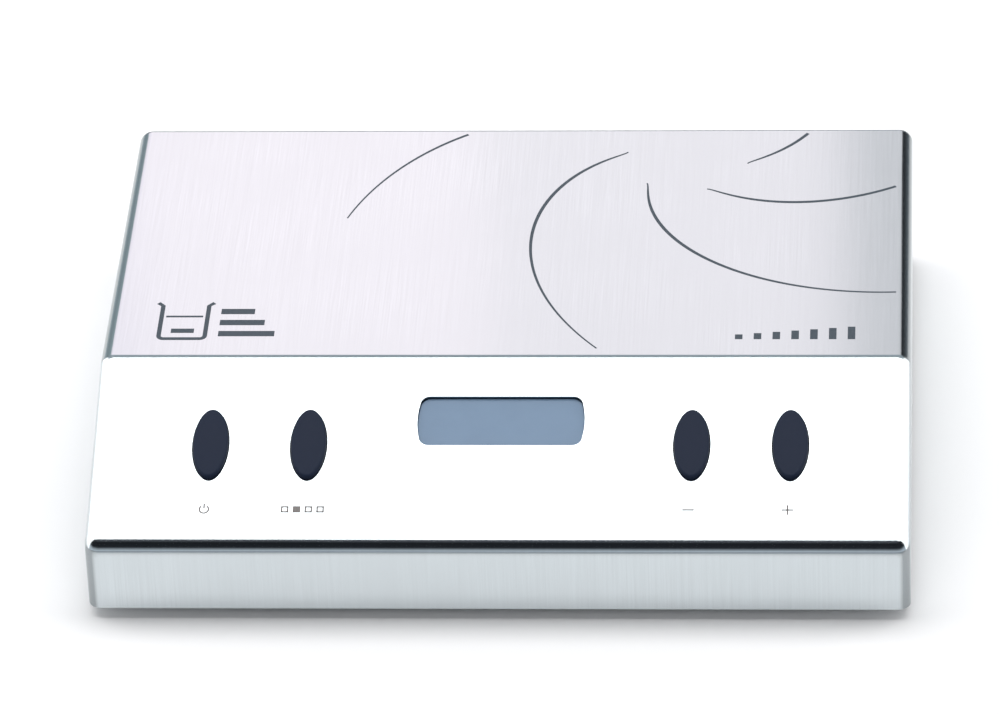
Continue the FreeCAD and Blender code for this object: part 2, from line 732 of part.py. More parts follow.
def power_inlet_nut():
    nut = hexagon(11.0, -SHEET - 2.0, -SHEET)
    return at_rear(nut.cut(rod(INLET_RADIUS + 0.02, -10, 1)), INLET_X)


LEAD_HEADER_Y = MAIN_BACK_Y - 4.0
LEAD_HEADER = (10.0, 6.0, 2.2)
LEAD_ROW = 1.4  # each header's two rows lie this far from its middle
LEAD_BEND = 1.4


def lead_headers():
    """The two wire connectors at the main board's rear edge."""
    return group(block(*LEAD_HEADER, x, LEAD_HEADER_Y, MAIN_TOP) for x in (SOCKET_X, INLET_X))


def lead_wire(x, y, z, row, radius):
    """A wire that runs forwards from a contact's tail and bends down into its header."""
    row_y = LEAD_HEADER_Y + row * LEAD_ROW
    points = [Vec(x, y, z), Vec(x, row_y, z), Vec(x, row_y, MAIN_TOP + LEAD_HEADER[2])]
    return tube(points, radius, LEAD_BEND)


def drive_lead():
    """Five wires from the socket's contacts to the board; the lowest pair take the rear row."""
    tail_y = BACK_Y - SOCKET_INSIDE - 2.5
    return group(
        lead_wire(SOCKET_X + x, tail_y, REAR_CENTRE_Z - y, 1 if y > 1 else -1, 0.6)
        for x, y in contact_places()
    )


def power_lead():
    """Two wires from the inlet to the board."""
    pin_y = BACK_Y - INLET_INSIDE - 2.0
    return group([
        lead_wire(INLET_X, pin_y, REAR_CENTRE_Z, 1, 0.7),
        lead_wire(INLET_X, pin_y - 1.0, REAR_CENTRE_Z + INLET_BORE, -1, 0.7),
    ])


# All nodes ----------------------------------------------------------------------------------------------


def all_nodes():
    nodes = {
        "housing_shell": housing_shell(),
        "base_plate": base_plate(),
        "corner_blocks": corner_blocks(),
        "base_screws": base_screws(),
        "rating_plate": rating_plate(),
        "key_guide_frame": key_guide_frame(),
        "panel_studs": panel_studs(),
        "stud_nuts": stud_nuts(),
        "key_board": key_board(),
        "display_window": display_window(),
        "window_gasket": window_gasket(),
        "lcd_frame": lcd_frame(),
        "lcd_glass": lcd_glass(),
        "lcd_backlight": lcd_backlight(),
        "lcd_board": lcd_board(),
        "lcd_header_pins": lcd_header_pins(),
        "main_board": main_board(),
        "board_standoffs": board_standoffs(),
        "board_screws": board_screws(),
        "microcontroller": microcontroller(),
        "driver_transistors": driver_transistors(),
        "driver_heat_sink": driver_heat_sink(),
        "smoothing_capacitors": smoothing_capacitors(),
        "power_choke": power_choke(),
        "choke_winding": choke_winding(),
        "board_small_parts": board_small_parts(),
        "ribbon_headers": ribbon_headers(),
        "ribbon_cable": ribbon_cable(),
        "drive_socket_shell": drive_socket_shell(),
        "drive_socket_insert": drive_socket_insert(),
        "drive_socket_contacts": drive_socket_contacts(),
        "drive_socket_nut": drive_socket_nut(),
        "drive_socket_seal": drive_socket_seal(),
        "power_inlet_body": power_inlet_body(),
        "power_inlet_contacts": power_inlet_contacts(),
        "power_inlet_nut": power_inlet_nut(),
        "lead_headers": lead_headers(),
        "drive_lead": drive_lead(),
        "power_lead": power_lead(),
    }
    for end_name, end in (("front", -1), ("rear", 1)):
        for side_name, side in (("left", -1), ("right", 1)):
            nodes[f"foot_{end_name}_{side_name}"] = foot(side, end)
    for name, x in KEYS.items():
        nodes[f"{name}_key"] = key_cap(x)
        nodes[f"{name}_switch_plunger"] = switch_plunger(x)
        nodes[f"{name}_switch_body"] = switch_body(x)
        nodes[f"{name}_switch_spring"] = switch_spring(x)
    return nodes


def main():
    os.makedirs("parts", exist_ok=True)
    for name, shape in all_nodes().items():
        shape.exportStep(f"parts/{name}.step")


main()
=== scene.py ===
"""Control unit of a magnetic stirrer on a pale studio floor.

The CAD nodes keep their shapes and get procedural materials here. The key caps, the printed graphics and the
switch springs are made in this script. Lengths are in metres unless a name ends in _MM.
"""

import json
from math import asin, cos, hypot, pi, radians, sin, tau

import bpy
from mathutils import Matrix, Vector

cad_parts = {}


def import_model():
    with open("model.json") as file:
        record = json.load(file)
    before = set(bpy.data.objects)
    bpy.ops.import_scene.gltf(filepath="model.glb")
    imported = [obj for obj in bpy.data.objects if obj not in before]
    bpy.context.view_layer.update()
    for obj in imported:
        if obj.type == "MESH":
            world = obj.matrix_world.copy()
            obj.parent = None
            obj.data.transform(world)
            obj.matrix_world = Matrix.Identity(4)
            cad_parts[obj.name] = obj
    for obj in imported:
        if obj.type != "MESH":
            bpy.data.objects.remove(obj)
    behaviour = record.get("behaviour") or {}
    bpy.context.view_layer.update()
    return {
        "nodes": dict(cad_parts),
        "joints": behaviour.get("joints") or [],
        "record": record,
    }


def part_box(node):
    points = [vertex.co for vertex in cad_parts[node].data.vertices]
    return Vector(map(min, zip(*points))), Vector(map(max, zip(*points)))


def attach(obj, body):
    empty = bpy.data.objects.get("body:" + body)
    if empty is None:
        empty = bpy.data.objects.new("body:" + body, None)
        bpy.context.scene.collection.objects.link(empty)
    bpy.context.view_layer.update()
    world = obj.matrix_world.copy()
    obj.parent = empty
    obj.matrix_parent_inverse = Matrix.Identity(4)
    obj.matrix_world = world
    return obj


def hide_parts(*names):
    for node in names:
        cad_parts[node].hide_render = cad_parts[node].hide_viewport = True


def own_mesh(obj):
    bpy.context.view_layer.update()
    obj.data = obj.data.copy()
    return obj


MM = 0.001

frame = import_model()
nodes = frame["nodes"]

# The housing's shape, read from the frame --------------------------------------------------------------

shell_low, shell_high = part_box("housing_shell")
press_axis = Vector(frame["joints"][0]["axis"])
SLOPE = asin(press_axis.y)
PANEL_LENGTH = 45.55 * MM
PANEL_ALONG = Vector((0, cos(SLOPE), sin(SLOPE)))
PANEL_OUT = -press_axis
PANEL_FOOT = Vector((0, shell_low.y, shell_high.z - PANEL_LENGTH * sin(SLOPE)))
CREASE_Y = shell_low.y + PANEL_LENGTH * cos(SLOPE)
ACROSS = Vector((1, 0, 0))

PANEL = Matrix((ACROSS, PANEL_ALONG, PANEL_OUT)).transposed().to_4x4()
PANEL.translation = PANEL_FOOT
TOP = Matrix.Translation((0, CREASE_Y, shell_high.z))


def panel_box(name):
    """A node's lowest and highest corner in the panel's frame."""
    to_panel = PANEL.inverted()
    corners = [to_panel @ vertex.co for vertex in nodes[name].data.vertices]
    return Vector(map(min, zip(*corners))), Vector(map(max, zip(*corners)))


# Materials ---------------------------------------------------------------------------------------------


def by_identifier(sockets, identifier):
    """A mix node's socket of one data type, as several of them share a name."""
    return next(socket for socket in sockets if socket.identifier == identifier)


class Shader:
    """A material's node tree, with short ways to add nodes to it."""

    def __init__(self, name):
        self.material = bpy.data.materials.new(name)
        self.material.use_nodes = True
        self.tree = self.material.node_tree
        self.surface = self.tree.nodes["Principled BSDF"]
        self.place = self.tree.nodes.new("ShaderNodeTexCoord").outputs["Object"]

    def node(self, kind, **settings):
        made = self.tree.nodes.new(kind)
        for key, value in settings.items():
            setattr(made, key, value)
        return made

    def link(self, source, target):
        self.tree.links.new(source, target)

    def feed(self, target, value):
        """Sets a socket, or links it if the value is another node's output."""
        if isinstance(value, bpy.types.NodeSocket):
            self.link(value, target)
        else:
            target.default_value = value

    def math(self, operation, a, b=0.0):
        made = self.node("ShaderNodeMath", operation=operation)
        self.feed(made.inputs[0], a)
        self.feed(made.inputs[1], b)
        return made.outputs[0]

    def stretched(self, x, y, z):
        """The place in the object's frame, scaled along each axis."""
        made = self.node("ShaderNodeVectorMath", operation="MULTIPLY")
        self.link(self.place, made.inputs[0])
        made.inputs[1].default_value = (x, y, z)
        return made.outputs[0]

    def noise(self, vector, scale, detail=3.0, roughness=0.55):
        made = self.node("ShaderNodeTexNoise")
        self.link(vector, made.inputs["Vector"])
        made.inputs["Scale"].default_value = scale
        made.inputs["Detail"].default_value = detail
        made.inputs["Roughness"].default_value = roughness
        return made.outputs["Fac"]

    def span(self, value, low, high, source=(0.0, 1.0)):
        """The value moved from the source range to low..high."""
        made = self.node("ShaderNodeMapRange")
        self.link(value, made.inputs["Value"])
        made.inputs["From Min"].default_value, made.inputs["From Max"].default_value = source
        made.inputs["To Min"].default_value = low
        made.inputs["To Max"].default_value = high
        return made.outputs["Result"]

    def mix(self, factor, a, b, kind="Color"):
        """Two colours or two numbers, mixed by factor."""
        made = self.node("ShaderNodeMix", data_type="RGBA" if kind == "Color" else "FLOAT")
        self.feed(by_identifier(made.inputs, "Factor_Float"), factor)
        self.feed(by_identifier(made.inputs, f"A_{kind}"), a)
        self.feed(by_identifier(made.inputs, f"B_{kind}"), b)
        return by_identifier(made.outputs, f"Result_{kind}")

    def bump(self, height, distance, strength=1.0):
        made = self.node("ShaderNodeBump")
        made.inputs["Strength"].default_value = strength
        made.inputs["Distance"].default_value = distance
        self.link(height, made.inputs["Height"])
        self.link(made.outputs["Normal"], self.surface.inputs["Normal"])

    def set(self, **values):
        for name, value in values.items():
            self.feed(self.surface.inputs[name.replace("_", " ")], value)


def rgb(red, green, blue):
    return (red, green, blue, 1.0)


def tone(colour, factor):
    return rgb(*(min(1.0, part * factor) for part in colour))


BEND_ROUGHNESS = 0.08
BEND_FADE = (0.90, 0.998)  # flatness where a bend's extra roughness and painted shade are full, and where they have gone
PANEL_RISE = (0.05, 0.4)  # upward facing where the sloping front stops counting as a corner
SIDE_FACING = 0.8
BRUSH_STRETCH = 0.012
CLOUD_SCALE = 38.0
MIDDLE = (0.3, 0.7)  # the part of a noise's range that is common


def flatness(made):
    """How squarely the surface faces across, along or up: 1 on the flats, less on the bends. Where it is low,
    the housing gets more roughness and its colour is darkened as painted shade.

    Forward of the crease only the upright corners count as bends, because the panel itself slopes.
    """
    normal = made.node("ShaderNodeSeparateXYZ")
    made.link(made.node("ShaderNodeNewGeometry").outputs["Normal"], normal.inputs[0])
    place = made.node("ShaderNodeSeparateXYZ")
    made.link(made.place, place.inputs[0])
    across, along, up = (made.math("ABSOLUTE", normal.outputs[axis]) for axis in "XYZ")
    behind = made.math("GREATER_THAN", place.outputs["Y"], CREASE_Y)
    level = made.mix(behind, made.span(up, 0.0, 1.0, PANEL_RISE), up, "Float")
    return made.math("MAXIMUM", made.math("MAXIMUM", across, along), level)


def brushed_sheet(name, colour, roughness, line_scale, relief, painted_bend_shade=1.0):
    """Sheet metal brushed from front to back; the lines run on down the flanges, and the bends are rougher,
    with their colour darkened as painted shade.
    """
    made = Shader(name)
    split = made.node("ShaderNodeSeparateXYZ")
    made.link(made.node("ShaderNodeNewGeometry").outputs["True Normal"], split.inputs[0])
    side = made.math("GREATER_THAN", made.math("ABSOLUTE", split.outputs["X"]), SIDE_FACING)
    over_top = made.noise(made.stretched(1, BRUSH_STRETCH, BRUSH_STRETCH), line_scale, 4.0, 0.7)
    down_side = made.noise(made.stretched(BRUSH_STRETCH, BRUSH_STRETCH, 1), line_scale, 4.0, 0.7)
    brush = made.mix(side, over_top, down_side, "Float")
    cloud = made.noise(made.place, CLOUD_SCALE, 3.0, 0.6)
    depth = made.span(cloud, 0.3, 1.2, (0.35, 0.65))
    streaks = made.math("MULTIPLY", made.span(brush, -0.5, 0.5, MIDDLE), depth)
    shade = made.math("ADD", made.math("ADD", streaks, 0.35), made.span(cloud, 0.0, 0.3, MIDDLE))
    plain = made.mix(shade, tone(colour, 0.955), tone(colour, 1.045))
    flat = flatness(made)
    gloss = made.math("ADD", made.span(brush, -0.02, 0.02), made.span(cloud, roughness, roughness + 0.04))
    made.set(
        # Painted shade: on the bends the colour falls to the colour times the bend shade factor, standing in
        # for dark reflections at the corners.
        Base_Color=made.mix(made.span(flat, 0.0, 1.0, BEND_FADE), tone(colour, painted_bend_shade), plain),
        Metallic=1.0,
        Roughness=made.math("ADD", gloss, made.span(flat, BEND_ROUGHNESS, 0.0, BEND_FADE)),
    )
    made.bump(brush, relief)
    return made.material


def grained(name, colour, metallic=0.0, roughness=0.5, grain=900.0, relief=0.00001, specular=0.5, vary=0.12):
    """A moulded, cast or plated surface: fine grain in the relief, and slow drift in colour and gloss."""
    made = Shader(name)
    fine = made.noise(made.place, grain, 3.0)
    slow = made.noise(made.place, 60.0, 2.0)
    dull = made.span(slow, roughness - 0.03, roughness + 0.05)
    made.set(
        Base_Color=made.mix(slow, tone(colour, 1 - vary), tone(colour, 1 + vary)),
        Metallic=metallic,
        Roughness=made.math("ADD", made.span(fine, -0.06, 0.06), dull),
        Specular_IOR_Level=specular,
    )
    made.bump(fine, relief)
    return made.material


WAVE_RATE = 20.0  # radians that the wave texture turns through per unit of length at scale 1


def threaded(name, colour, roughness, pitch):
    """Turned metal with fine rings along the sockets' axis, as a thread or a lathe leaves them."""
    made = Shader(name)
    wave = made.node("ShaderNodeTexWave", wave_type="BANDS", bands_direction="Y")
    made.link(made.place, wave.inputs["Vector"])
    wave.inputs["Scale"].default_value = tau / WAVE_RATE / pitch
    wave.inputs["Distortion"].default_value = 0.0
    slow = made.noise(made.place, 120.0, 2.0)
    made.set(
        Base_Color=made.mix(slow, tone(colour, 0.88), tone(colour, 1.08)),
        Metallic=1.0,
        Roughness=made.span(slow, roughness, roughness + 0.1),
    )
    made.bump(wave.outputs["Fac"], 0.00012)
    return made.material


def board(name):
    """Green solder mask over copper tracks."""
    made = Shader(name)
    tracks = made.node("ShaderNodeTexBrick")
    made.link(made.place, tracks.inputs["Vector"])
    tracks.inputs["Scale"].default_value = 260.0
    tracks.inputs["Mortar Size"].default_value = 0.06
    tracks.inputs["Color1"].default_value = rgb(0.012, 0.13, 0.05)
    tracks.inputs["Color2"].default_value = rgb(0.014, 0.16, 0.06)
    tracks.inputs["Mortar"].default_value = rgb(0.03, 0.26, 0.11)
    gloss = made.span(made.noise(made.place, 400.0), 0.28, 0.42)
    made.set(Base_Color=tracks.outputs["Color"], Roughness=gloss)
    made.bump(tracks.outputs["Fac"], 0.00002)
    return made.material


def display_cell(name):
    """The grey-blue face of a reflective liquid-crystal cell, with its dormant dot grid."""
    made = Shader(name)
    dots = made.node("ShaderNodeTexVoronoi", feature="F1", distance="CHEBYCHEV")
    dots.inputs["Randomness"].default_value = 0.0
    dots.inputs["Scale"].default_value = 1800.0
    made.link(made.place, dots.inputs["Vector"])
    slow = made.noise(made.place, 45.0, 2.0)
    plain = made.mix(slow, rgb(0.15, 0.215, 0.30), rgb(0.17, 0.235, 0.32))
    grid = made.span(dots.outputs["Distance"], 0.06, 0.0, (0.1, 0.5))
    made.set(Base_Color=made.mix(grid, plain, rgb(0.08, 0.12, 0.17)), Roughness=0.35)
    return made.material


def lens(name):
    """The smoked window, through which the display cell shows faintly."""
    made = Shader(name)
    haze = made.noise(made.place, 220.0, 2.0)
    made.set(
        Base_Color=made.mix(haze, rgb(0.163, 0.249, 0.366), rgb(0.171, 0.261, 0.382)),
        Roughness=made.span(haze, 0.20, 0.28),
        Alpha=made.span(haze, 0.80, 0.86),
        Specular_IOR_Level=0.3,
    )
    return made.material


def ink(name, colour):
    """Screen-printed ink, speckled where the brushed metal shows through its edge."""
    made = Shader(name)
    speckle = made.noise(made.place, 2500.0, 2.0)
    made.set(
        Base_Color=made.mix(speckle, tone(colour, 0.8), tone(colour, 1.2)),
        Roughness=0.55,
        Specular_IOR_Level=0.25,
    )
    return made.material


MATERIALS = {
    # steel_housing's last number, 0.55, darkens its bends as painted shade.
    "steel_housing": brushed_sheet("steel_housing", (0.60, 0.645, 0.665), 0.12, 3200.0, 0.0000015, 0.55),
    "zinc_plate": brushed_sheet("zinc_plate", (0.52, 0.53, 0.54), 0.34, 1500.0, 0.000006),
    "screw_steel": grained("screw_steel", (0.60, 0.60, 0.61), 1.0, 0.28, 1500.0),
    "foot_rubber": grained("foot_rubber", (0.022, 0.022, 0.024), 0.0, 0.72, 1400.0, 0.00004, 0.3),
    "key_slate": grained("key_slate", (0.010, 0.016, 0.034), 0.0, 0.50, 2600.0, 0.000012, 0.12, 0.08),
    "black_plastic": grained("black_plastic", (0.018, 0.018, 0.019), 0.0, 0.5, 1800.0),
    "gasket_foam": grained("gasket_foam", (0.012, 0.012, 0.012), 0.0, 0.85, 2200.0, 0.00004, 0.2),
    "window_lens": lens("window_lens"),
    "lcd_cell": display_cell("lcd_cell"),
    "backlight_plastic": grained("backlight_plastic", (0.78, 0.79, 0.77), 0.0, 0.4),
    "tinned_steel": grained("tinned_steel", (0.62, 0.62, 0.60), 1.0, 0.35, 1200.0),
    "circuit_board": board("circuit_board"),
    "chip_epoxy": grained("chip_epoxy", (0.016, 0.016, 0.018), 0.0, 0.55, 3000.0),
    "heat_sink_aluminium": grained("heat_sink_aluminium", (0.56, 0.57, 0.59), 1.0, 0.38, 1100.0),
    "capacitor_can": grained("capacitor_can", (0.05, 0.07, 0.18), 0.0, 0.3, 800.0),
    "ferrite": grained("ferrite", (0.05, 0.05, 0.055), 0.0, 0.6, 2600.0, 0.00003),
    "copper_wire": grained("copper_wire", (0.62, 0.24, 0.10), 1.0, 0.32, 2600.0, 0.00005),
    "ribbon_pvc": grained("ribbon_pvc", (0.42, 0.43, 0.45), 0.0, 0.5),
    "header_nylon": grained("header_nylon", (0.72, 0.70, 0.62), 0.0, 0.5),
    "wire_pvc": grained("wire_pvc", (0.34, 0.03, 0.025), 0.0, 0.42),
    "nickel_shell": threaded("nickel_shell", (0.66, 0.65, 0.62), 0.22, 1.0 * MM),
    "insulator_pbt": grained("insulator_pbt", (0.018, 0.018, 0.019), 0.0, 0.45, 2000.0),
    "gold_contact": grained("gold_contact", (0.80, 0.56, 0.20), 1.0, 0.25, 1500.0),
    "spring_steel": grained("spring_steel", (0.62, 0.62, 0.62), 1.0, 0.25, 1500.0),
    "plunger_acetal": grained("plunger_acetal", (0.70, 0.70, 0.67), 0.0, 0.35),
    "seal_rubber": grained("seal_rubber", (0.02, 0.02, 0.02), 0.0, 0.7, 1500.0, 0.00003, 0.3),
    "label_aluminium": brushed_sheet("label_aluminium", (0.72, 0.72, 0.72), 0.3, 2400.0, 0.000003),
    "printed_ink": ink("printed_ink", (0.050, 0.066, 0.082)),
    # label_ink is lighter and warmer than printed_ink: painted glare, the key symbols shown washed out by the
    # light off the bright panel.
    "label_ink": ink("label_ink", (0.185, 0.170, 0.165)),
}


def dress(obj, slot):
    """Gives an object the material of one of the record's slots."""
    obj.data.materials.clear()
    obj.data.materials.append(MATERIALS[slot])


for part in frame["record"]["subparts"]:
    dress(nodes[part["node"]], part["material_slot"])


# Pieces made here --------------------------------------------------------------------------------------


def new_piece(name, points, faces, slot, body):
    """A mesh object that rides on a body."""
    mesh = bpy.data.meshes.new(name)
    mesh.from_pydata([tuple(p) for p in points], [], faces)
    mesh.update()
    piece = bpy.data.objects.new(name, mesh)
    bpy.context.scene.collection.objects.link(piece)
    dress(piece, slot)
    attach(piece, body)
    return piece


INK_LOW = -0.01 * MM
INK_HIGH = 0.03 * MM


def stroke(points, widths):
    """A flat line along points in a plane, with a width at each point, as closed strip geometry."""
    last = len(points) - 1
    verts = []
    for i, ((x, y), width) in enumerate(zip(points, widths)):
        before, after = points[max(i - 1, 0)], points[min(i + 1, last)]
        dx, dy = after[0] - before[0], after[1] - before[1]
        scale = width / 2 / hypot(dx, dy)
        for z in (INK_LOW, INK_HIGH):
            verts.append((x - dy * scale, y + dx * scale, z))
            verts.append((x + dy * scale, y - dx * scale, z))
    faces = [(2, 0, 1, 3), (4 * last + 3, 4 * last + 1, 4 * last, 4 * last + 2)]
    for start in range(0, 4 * last, 4):
        for p, q in ((2, 3), (3, 1), (1, 0), (0, 2)):
            faces.append((start + p, start + q, start + 4 + q, start + 4 + p))
    return verts, faces


def line(points, width):
    """A stroke of even width."""
    return stroke(points, [width] * len(points))


def bar(x, y, half, height):
    """A level bar, centred on x and y."""
    return line([(x - half, y), (x + half, y)], height)


def printed(name, strokes, slot, plane, place):
    """Strokes joined in one piece of ink that lies on the housing, with its origin at place on the plane."""
    verts, faces = [], []
    for more, around in strokes:
        start = len(verts)
        verts += [plane @ Vector((x + place[0], y + place[1], z)) for x, y, z in more]
        faces += [tuple(start + i for i in face) for face in around]
    return new_piece(name, verts, faces, slot, "housing")


def arc_points(radius, start, end, count, centre=(0.0, 0.0)):
    turns = [radians(start + (end - start) * i / (count - 1)) for i in range(count)]
    return [(centre[0] + radius * cos(t), centre[1] + radius * sin(t)) for t in turns]


def key_centre(name):
    low, high = panel_box(f"{name}_key")
    return (low + high) / 2


LABEL_LINE = 0.33 * MM
LABEL_S = 8.9 * MM
LABEL_OFFSET = -0.4 * MM
POWER_RADIUS = 0.9 * MM
POWER_BAR = (0.25 * MM, 1.35 * MM)
MODE_SQUARE = 1.5 * MM
MODE_SQUARES = 4
MODE_PITCH = 2.3 * MM
MODE_CHOSEN = 1
SIGN_HALF = 1.15 * MM


def power_symbol():
    """A broken ring with an upright bar, the standard sign for stand-by."""
    ring = arc_points(POWER_RADIUS, 130, 410, 41)
    return [line(ring, LABEL_LINE), line([(0, y) for y in POWER_BAR], LABEL_LINE)]


def mode_symbol():
    """Four small squares in a row with the second one filled: a choice of settings."""
    half = MODE_SQUARE / 2
    inner = half - LABEL_LINE / 2
    strokes = []
    for i in range(MODE_SQUARES):
        x = (i - (MODE_SQUARES - 1) / 2) * MODE_PITCH
        if i == MODE_CHOSEN:
            strokes.append(bar(x, 0, half, MODE_SQUARE))
            continue
        strokes += [bar(x, y, half, LABEL_LINE) for y in (-inner, inner)]
        strokes += [line([(x + side, -half), (x + side, half)], LABEL_LINE) for side in (-inner, inner)]
    return strokes


def sign_symbol(upright):
    strokes = [bar(0, 0, SIGN_HALF, LABEL_LINE)]
    if upright:
        strokes.append(line([(0, -SIGN_HALF), (0, SIGN_HALF)], LABEL_LINE))
    return strokes


labels = {
    "power": power_symbol(),
    "mode": mode_symbol(),
    "minus": sign_symbol(False),
    "plus": sign_symbol(True),
}
for key, strokes in labels.items():
    printed(f"{key}_symbol", strokes, "label_ink", PANEL, (key_centre(key).x + LABEL_OFFSET, LABEL_S))

# The vortex on the top: equal arms that wind out from a round eye and straighten further out
VORTEX_CENTRE = (34.0 * MM, 72.0 * MM)
VORTEX_ARMS = 6
VORTEX_EYE = 12.5 * MM
VORTEX_REACH = 72.0 * MM
VORTEX_WIND = 0.50
VORTEX_EASE = 0.72
VORTEX_LINE = 0.72 * MM
VORTEX_TIP = 0.4
VORTEX_EDGE = 2.7 * MM
VORTEX_TURN = -10.0
VORTEX_STEPS = 128
VORTEX_SHORTEST = 7


def vortex_arm(index):
    """One arm's strokes, thickest half way out and left out where it would leave the flat of the top."""
    start = radians(VORTEX_TURN + 360.0 * index / VORTEX_ARMS)
    limit_x = shell_high.x - VORTEX_EDGE
    limit_y = shell_high.y - CREASE_Y - VORTEX_EDGE
    runs = [[]]
    for step in range(VORTEX_STEPS + 1):
        along = step / VORTEX_STEPS
        radius = VORTEX_EYE * (VORTEX_REACH / VORTEX_EYE) ** along
        angle = start + (radius / VORTEX_EYE - 1) ** VORTEX_EASE * VORTEX_WIND
        x = VORTEX_CENTRE[0] + radius * cos(angle)
        y = VORTEX_CENTRE[1] + radius * sin(angle)
        width = VORTEX_LINE * (VORTEX_TIP + (1 - VORTEX_TIP) * sin(pi * along))
        if abs(x) < limit_x and VORTEX_EDGE < y < limit_y:
            runs[-1].append(((x, y), width))
        elif runs[-1]:
            runs.append([])
    return [stroke(*zip(*run)) for run in runs if len(run) >= VORTEX_SHORTEST]


arms = [run for index in range(VORTEX_ARMS) for run in vortex_arm(index)]
printed("vortex_graphic", arms, "printed_ink", TOP, (0.0, 0.0))

BADGE_PLACE = (-64.4 * MM, 6.2 * MM)
BADGE_LINE = 0.9 * MM
BEAKER_HALF = 4.6 * MM
BEAKER_HEIGHT = 12.6 * MM
BEAKER_LIP = 1.0 * MM
BADGE_BARS = 3
BADGE_BAR_LEFT = 7.2 * MM
BADGE_BAR_HALF = 5.6 * MM


def beaker_badge():
    """A beaker with a stirring bar in it, and three level bars beside it."""
    wall = [(-BEAKER_HALF - BEAKER_LIP, BEAKER_HEIGHT), (-BEAKER_HALF, BEAKER_HEIGHT - BEAKER_LIP)]
    wall += arc_points(BEAKER_LIP, 180, 270, 7, (BEAKER_LIP - BEAKER_HALF, BEAKER_LIP))
    wall += [(-x, y) for x, y in reversed(wall)]
    strokes = [line(wall, BADGE_LINE), bar(0, 0.22 * BEAKER_HEIGHT, 0.5 * BEAKER_HALF, 1.6 * BADGE_LINE)]
    strokes.append(bar(0, 0.62 * BEAKER_HEIGHT, BEAKER_HALF - BADGE_LINE, 0.6 * BADGE_LINE))
    for i in range(BADGE_BARS):
        half = BADGE_BAR_HALF * (1 - 0.2 * i)
        height = (0.14 + 0.31 * i) * BEAKER_HEIGHT
        strokes.append(bar(BADGE_BAR_LEFT + half, height, half, 2.0 * BADGE_LINE))
    return strokes


SPEED_PLACE = (46.0 * MM, 6.0 * MM)
SPEED_BARS = 7
SPEED_PITCH = 3.7 * MM
SPEED_WIDTH = 1.5 * MM
SPEED_LOWEST = 1.6 * MM
SPEED_STEP = 0.45 * MM


def speed_bars():
    """A row of rising bars, the usual sign for a speed setting."""
    return [
        line([(i * SPEED_PITCH, 0), (i * SPEED_PITCH, SPEED_LOWEST + i * SPEED_STEP)], SPEED_WIDTH)
        for i in range(SPEED_BARS)
    ]


printed("beaker_badge", beaker_badge(), "printed_ink", TOP, BADGE_PLACE)
printed("speed_symbol", speed_bars(), "printed_ink", TOP, SPEED_PLACE)


# Key caps ----------------------------------------------------------------------------------------------

CAP_SIDES = 96
CAP_EDGE = 0.6 * MM
CAP_EDGE_STEPS = 8
CAP_CROWN = 0.16 * MM
CAP_CROWN_STEPS = 9
FLANGE_GROW = 1.1 * MM
FLANGE_TOP = -1.1 * MM
FLANGE_BOTTOM = -2.4 * MM
BOSS_RADIUS = 2.0 * MM
CAP_SHARP = 40


def oval(half_width, half_length, inset=0.0, part=1.0):
    """An ellipse moved inwards by inset all round, then scaled by part."""
    points = []
    for i in range(CAP_SIDES):
        turn = tau * i / CAP_SIDES
        across, along = half_length * cos(turn), half_width * sin(turn)
        scale = inset / hypot(across, along)
        points.append((
            part * (half_width * cos(turn) - across * scale),
            part * (half_length * sin(turn) - along * scale),
        ))
    return points


def cap_rings(half_width, half_length, low, high):
    """Outlines from the boss under a key to its crown, each with its height."""
    boss = oval(BOSS_RADIUS, BOSS_RADIUS)
    flange = oval(half_width + FLANGE_GROW, half_length + FLANGE_GROW)
    rings = [(boss, low), (boss, FLANGE_BOTTOM), (flange, FLANGE_BOTTOM), (flange, FLANGE_TOP)]
    rings.append((oval(half_width, half_length), FLANGE_TOP))
    for i in range(CAP_EDGE_STEPS + 1):
        lean = pi / 2 * i / CAP_EDGE_STEPS
        outline = oval(half_width, half_length, CAP_EDGE * (1 - cos(lean)))
        rings.append((outline, high - CAP_CROWN - CAP_EDGE * (1 - sin(lean))))
    for i in range(1, CAP_CROWN_STEPS):
        part = 1 - i / CAP_CROWN_STEPS
        rings.append((oval(half_width, half_length, CAP_EDGE, part), high - CAP_CROWN * part * part))
    return rings


def key_cap(key):
    """A crowned oval key with its retaining flange and its boss, lofted through ellipses."""
    low, high = panel_box(f"{key}_key")
    middle = (low + high) / 2
    half = (high - low) / 2
    rings = cap_rings(half.x - FLANGE_GROW, half.y - FLANGE_GROW, low.z, high.z)
    verts = []
    for outline, height in rings:
        verts += [PANEL @ Vector((middle.x + x, middle.y + y, height)) for x, y in outline]
    verts += [PANEL @ Vector((middle.x, middle.y, z)) for z in (low.z, high.z)]
    faces = []
    for ring in range(len(rings) - 1):
        for i in range(CAP_SIDES):
            a, b = ring * CAP_SIDES + i, ring * CAP_SIDES + (i + 1) % CAP_SIDES
            faces.append((a, b, b + CAP_SIDES, a + CAP_SIDES))
    last = (len(rings) - 1) * CAP_SIDES
    bottom, top = len(verts) - 2, len(verts) - 1
    for i in range(CAP_SIDES):
        following = (i + 1) % CAP_SIDES
        faces += [(bottom, following, i), (top, last + i, last + following)]
    cap = new_piece(f"{key}_key_cap", verts, faces, "key_slate", f"{key}_button")
    cap.data.shade_smooth()
    cap.data.set_sharp_from_angle(angle=radians(CAP_SHARP))
    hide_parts(f"{key}_key")


for key in labels:
    key_cap(key)


# Switch springs ----------------------------------------------------------------------------------------

SPRING_TURNS = 4
SPRING_WIRE = 0.125 * MM  # the wire's radius
SPRING_RADIUS = 1.8 * MM
SPRING_HEIGHT = 3.4 * MM
SPRING_FOOT = -9.0 * MM
SPRING_GAP = 0.02 * MM
SPRING_SIDES = 10
SPRING_STEPS = 28 * SPRING_TURNS


